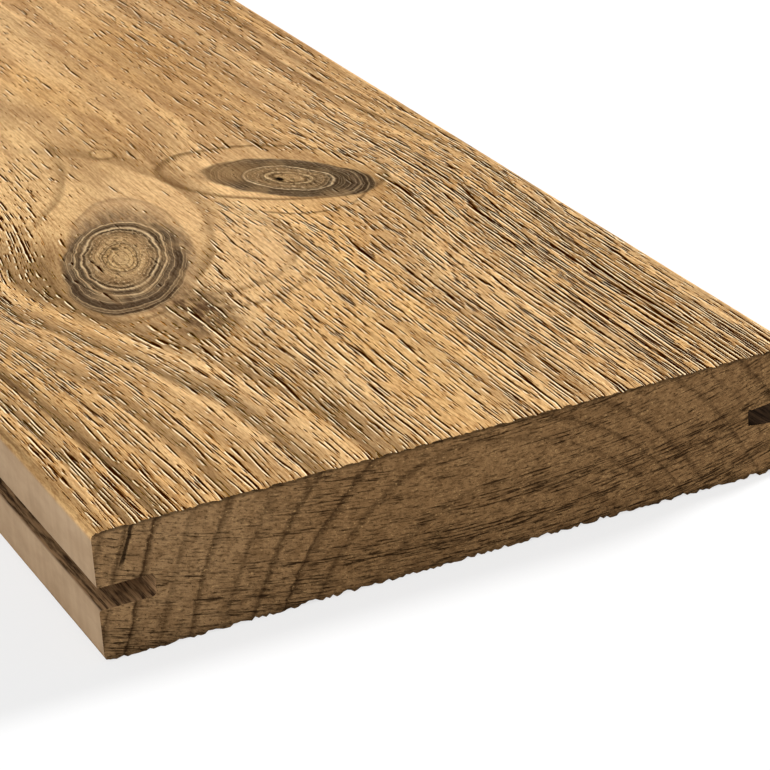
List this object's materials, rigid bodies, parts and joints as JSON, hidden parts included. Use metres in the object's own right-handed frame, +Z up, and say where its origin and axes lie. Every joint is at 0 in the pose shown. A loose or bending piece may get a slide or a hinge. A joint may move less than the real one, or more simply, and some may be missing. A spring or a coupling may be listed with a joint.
{
  "type": "decking board",
  "caption": "Flat heat-treated softwood decking board with a brushed, knotty walking face, sawn ends and a groove along each long side for hidden clips.",
  "frame": {"origin": "middle of the underside, on the surface that the board lies on", "axes": "+X along the board, +Y across its width, +Z up through its thickness, out of the walking face"},
  "size_m": [1.8, 0.145, 0.026],
  "materials": {
    "heat_treated_pine": "brushed grain on the faces, planed sides, sawn ends, no coating"
  },
  "bodies": {
    "root": {"decking_board": "heat_treated_pine"}
  },
  "joints": []
}
